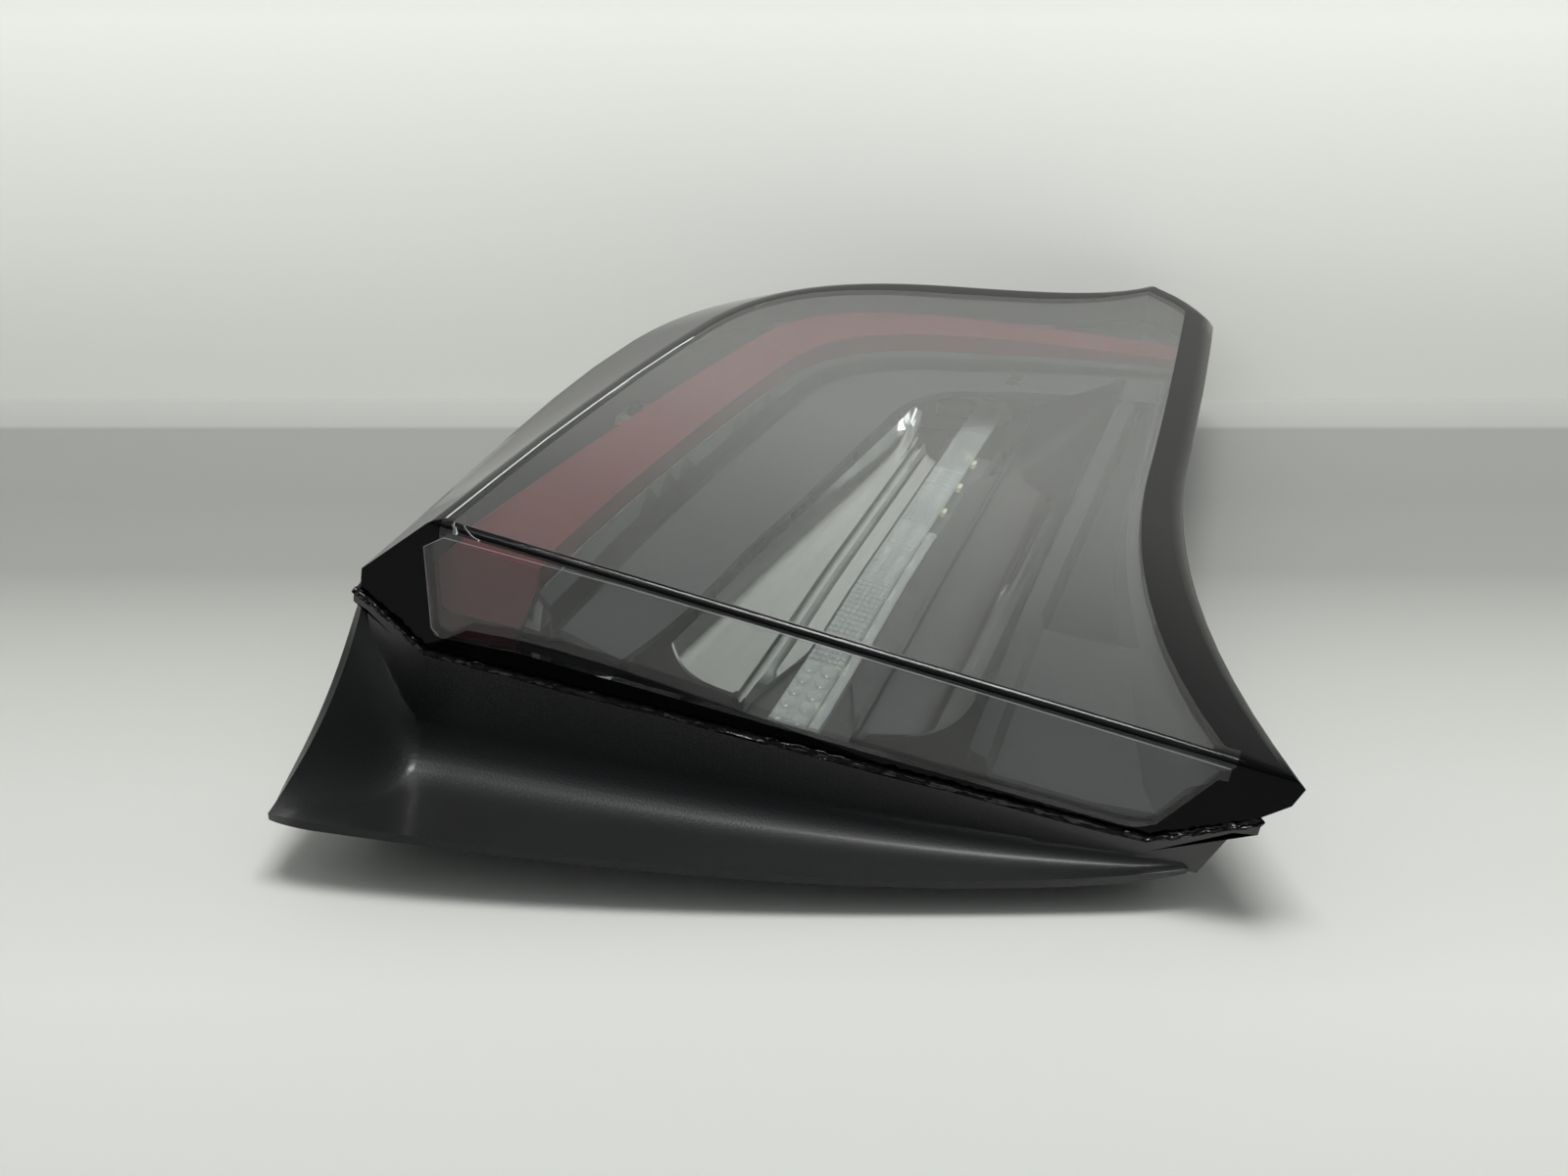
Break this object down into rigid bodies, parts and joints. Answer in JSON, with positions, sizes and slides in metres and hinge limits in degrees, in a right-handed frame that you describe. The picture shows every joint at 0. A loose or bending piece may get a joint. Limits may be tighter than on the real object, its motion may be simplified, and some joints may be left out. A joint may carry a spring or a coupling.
{
  "type": "tail light cluster",
  "caption": "Inner half of a split car tail lamp: smoked lens with black border, red light guide, clear optic bar between chrome troughs, black housing with shelf, studs and socket.",
  "frame": {"origin": "middle of the flat split end, on the plane of the stud tips on which the part lies", "axes": "+X from the lamp's upper side to its lower side, +Y from the flat split end to the far tip, +Z out of the back through the lens"},
  "size_m": [0.1817, 0.3114, 0.0572],
  "materials": {
    "housing": "injection moulded ABS, satin",
    "lens_border": "black second shot of the lens moulding",
    "outer_lens": "clear acrylic, lightly smoked",
    "weld_bead": "melted flash of the weld",
    "inner_bezel": "grey trim, fine texture",
    "tail_light_guide": "red acrylic",
    "tail_guide_carrier": "white polycarbonate",
    "tail_circuit_board": "glass-epoxy laminate",
    "tail_leds": "potted lamp chips",
    "upper_reflector": "polycarbonate with a vacuum-metallised mirror coat",
    "lower_reflector": "polycarbonate with a smoked vacuum-metallised mirror coat",
    "optic_bar": "clear acrylic with knurled optics",
    "bar_holder": "black polycarbonate",
    "bar_circuit_board": "white laminate",
    "bar_leds": "potted lamp chips",
    "driver_board": "glass-epoxy laminate",
    "driver_chips": "moulded epoxy",
    "driver_heat_sink": "extruded",
    "board_screws": "zinc plated",
    "carrier_screws": "zinc plated",
    "connector_socket": "glass-filled nylon",
    "connector_pins": "tinned brass",
    "stud_upper": "zinc plated",
    "stud_lower": "zinc plated",
    "stud_far": "zinc plated",
    "stud_seals": "moulded",
    "body_gasket": "closed-cell foam",
    "breather_cap": "moulded"
  },
  "bodies": {
    "root": {"housing": "housing", "lens_border": "lens_border", "outer_lens": "outer_lens", "weld_bead": "weld_bead", "inner_bezel": "inner_bezel", "tail_light_guide": "tail_light_guide", "tail_guide_carrier": "tail_guide_carrier", "tail_circuit_board": "tail_circuit_board", "tail_leds": "tail_leds", "upper_reflector": "upper_reflector", "lower_reflector": "lower_reflector", "optic_bar": "optic_bar", "bar_holder": "bar_holder", "bar_circuit_board": "bar_circuit_board", "bar_leds": "bar_leds", "driver_board": "driver_board", "driver_chips": "driver_chips", "driver_heat_sink": "driver_heat_sink", "board_screws": "board_screws", "carrier_screws": "carrier_screws", "connector_socket": "connector_socket", "connector_pins": "connector_pins", "stud_upper": "stud_upper", "stud_lower": "stud_lower", "stud_far": "stud_far", "stud_seals": "stud_seals", "body_gasket": "body_gasket", "breather_cap": "breather_cap"}
  },
  "joints": []
}
